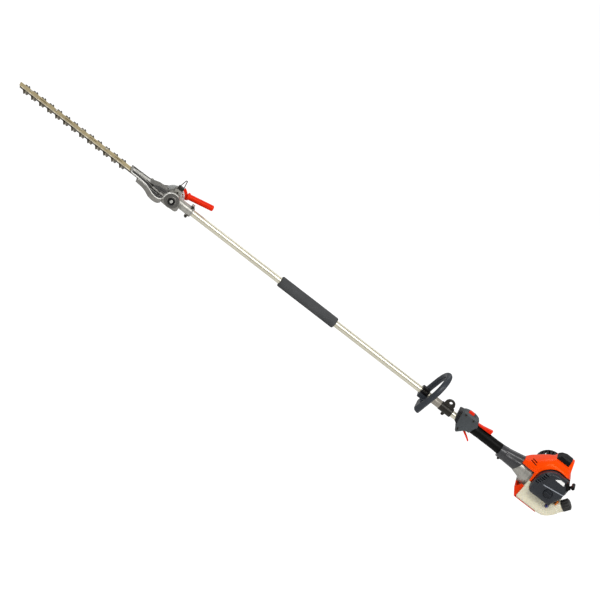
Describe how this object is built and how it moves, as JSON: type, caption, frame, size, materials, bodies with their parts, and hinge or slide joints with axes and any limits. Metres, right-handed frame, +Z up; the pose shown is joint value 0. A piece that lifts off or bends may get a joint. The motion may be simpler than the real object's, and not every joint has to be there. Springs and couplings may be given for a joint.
{
  "type": "hedge trimmer",
  "caption": "Petrol long-reach hedge trimmer: double-sided reciprocating blades on a tilting gear head, a long shaft tube with foam and loop grips, and a small engine at the rear.",
  "frame": {"origin": "centre of the flat foot under the fuel tank, on the surface the engine rests on", "axes": "+X along the shaft towards the engine, +Y across, +Z up; the shaft lies level"},
  "size_m": [2.3962, 0.1965, 0.216],
  "materials": {
    "tube": "clear anodised, satin",
    "shaft_steel": "ground steel",
    "bush": "plain nylon",
    "cast": "die-cast, shot blasted",
    "case_dark": "painted grey casting",
    "gear_steel": "hardened steel, oiled",
    "black_steel": "black oxide",
    "zinc": "zinc plated",
    "red_plastic": "moulded, semi-gloss",
    "guide_bar": "oiled steel with a tan cast",
    "blade": "ground steel with dark flanks",
    "foam": "closed-cell foam",
    "loop": "ribbed nylon with rubber",
    "black_plastic": "grained nylon",
    "housing_grey": "grained nylon",
    "grip_rubber": "soft rubber",
    "socket_grey": "moulded nylon",
    "orange": "moulded, semi-gloss",
    "slate": "grained nylon",
    "tank": "translucent polyethylene",
    "primer": "silicone",
    "filter_felt": "oiled felt",
    "ceramic": "glazed ceramic",
    "muffler": "heat-stained sheet steel"
  },
  "bodies": {
    "root": {"outer_tube": "tube", "shaft_bushes": "bush", "shaft_bearings": "zinc", "gear_neck": "cast", "lock_bracket": "cast", "foam_grip": "foam", "loop_handle": "loop", "loop_clamp": "black_plastic", "clamp_screws": "black_steel", "spacer_sleeve": "zinc", "hanger_clamp": "black_steel", "throttle_housing_near": "housing_grey", "throttle_housing_far": "housing_grey", "rear_grip": "grip_rubber", "shaft_socket": "socket_grey", "clutch_housing": "cast", "crankcase": "cast", "engine_cylinder": "cast", "spark_plug": "ceramic", "plug_cover": "black_plastic", "engine_hood": "orange", "muffler": "muffler", "muffler_guard": "black_plastic", "carburettor": "cast", "filter_base": "slate", "air_filter": "filter_felt", "air_filter_cover": "slate", "fuel_tank": "tank", "tank_guard": "orange", "starter_housing": "black_plastic", "cover_screws": "black_steel"},
    "drive_line": {"drive_shaft": "shaft_steel", "bevel_pinion": "gear_steel", "clutch_drum": "gear_steel"},
    "pivot_gear": {"pivot_gear": "gear_steel"},
    "crank": {"crankshaft": "shaft_steel", "flywheel": "cast", "clutch_shoes": "gear_steel"},
    "head": {"sector_plate": "zinc", "adjust_handle": "red_plastic", "gear_case_top": "case_dark", "gear_case_base": "case_dark", "case_screws": "black_steel", "pivot_bolt": "zinc", "crank_bearings": "zinc", "guide_bar": "guide_bar", "blade_bolts": "zinc"},
    "head_crank": {"crank_gear": "gear_steel"},
    "upper_blade": {"upper_blade": "blade"},
    "lower_blade": {"lower_blade": "blade"},
    "lock": {"lock_pin": "black_steel", "lock_bail": "black_steel"},
    "trigger": {"throttle_trigger": "red_plastic"},
    "lockout": {"throttle_lockout": "red_plastic"},
    "stop_switch": {"stop_switch": "red_plastic"},
    "filter_knob": {"filter_knob": "black_plastic"},
    "fuel_cap": {"fuel_cap": "black_plastic"},
    "primer": {"primer_bulb": "primer"},
    "choke": {"choke_lever": "black_plastic"},
    "starter_handle": {"starter_handle": "black_plastic"}
  },
  "joints": [
    {"name": "head_tilt", "type": "hinge", "parent": "root", "child": "head", "pos_m": [-1.609, 0, 0.077], "axis": [0, 1, 0], "range_deg": [-90, 15]},
    {"name": "lock_slide", "type": "slide", "parent": "root", "child": "lock", "axis": [0, 1, 0], "range_m": [0, 0.005]},
    {"name": "drive_spin", "type": "hinge", "parent": "root", "child": "drive_line", "pos_m": [-0.8, 0, 0.077], "axis": [1, 0, 0], "continuous": true},
    {"name": "pivot_gear_spin", "type": "hinge", "parent": "root", "child": "pivot_gear", "pos_m": [-1.609, 0, 0.077], "axis": [0, 1, 0], "continuous": true},
    {"name": "crank_spin", "type": "hinge", "parent": "root", "child": "crank", "pos_m": [0, 0, 0.077], "axis": [1, 0, 0], "continuous": true},
    {"name": "head_crank_spin", "type": "hinge", "parent": "head", "child": "head_crank", "pos_m": [-1.673, 0, 0.077], "axis": [0, 0, 1], "continuous": true},
    {"name": "upper_blade_slide", "type": "slide", "parent": "head", "child": "upper_blade", "axis": [1, 0, 0], "range_m": [-0.0136, 0.0036]},
    {"name": "lower_blade_slide", "type": "slide", "parent": "head", "child": "lower_blade", "axis": [1, 0, 0], "range_m": [-0.0036, 0.0136]},
    {"name": "trigger_pull", "type": "hinge", "parent": "root", "child": "trigger", "pos_m": [-0.33, 0, 0.058], "axis": [0, -1, 0], "range_deg": [0, 20], "stiffness_Nm_per_rad": 0.3, "springref_deg": -11.46},
    {"name": "lockout_press", "type": "hinge", "parent": "root", "child": "lockout", "pos_m": [-0.308, 0, 0.107], "axis": [0, 1, 0], "range_deg": [0, 8], "stiffness_Nm_per_rad": 0.5, "springref_deg": -17.19},
    {"name": "stop_switch_slide", "type": "slide", "parent": "root", "child": "stop_switch", "axis": [1, 0, 0], "range_m": [0, 0.006]},
    {"name": "filter_knob_turn", "type": "hinge", "parent": "root", "child": "filter_knob", "pos_m": [0.026, -0.094, 0.097], "axis": [0, -1, 0], "range_deg": [0, 720]},
    {"name": "fuel_cap_turn", "type": "hinge", "parent": "root", "child": "fuel_cap", "pos_m": [0.105, -0.031, 0.07], "axis": [0.5299, 0, 0.848], "range_deg": [0, 270]},
    {"name": "primer_press", "type": "slide", "parent": "root", "child": "primer", "axis": [0, 1, 0], "range_m": [0, 0.003], "stiffness_N_per_m": 400, "springref_m": -0.001},
    {"name": "choke_turn", "type": "hinge", "parent": "root", "child": "choke", "pos_m": [0.077, -0.061, 0.122], "axis": [1, 0, 0], "range_deg": [0, 60]},
    {"name": "starter_pull", "type": "slide", "parent": "root", "child": "starter_handle", "axis": [0.5736, 0, 0.8192], "range_m": [0, 0.03], "stiffness_N_per_m": 150, "springref_m": -0.02}
  ],
  "couplings": [
    {"joint": "pivot_gear_spin", "follows": "drive_spin", "ratio": -0.66667},
    {"joint": "head_crank_spin", "follows": "drive_spin", "ratio": 0.4},
    {"joint": "lower_blade_slide", "follows": "upper_blade_slide", "ratio": -1}
  ]
}
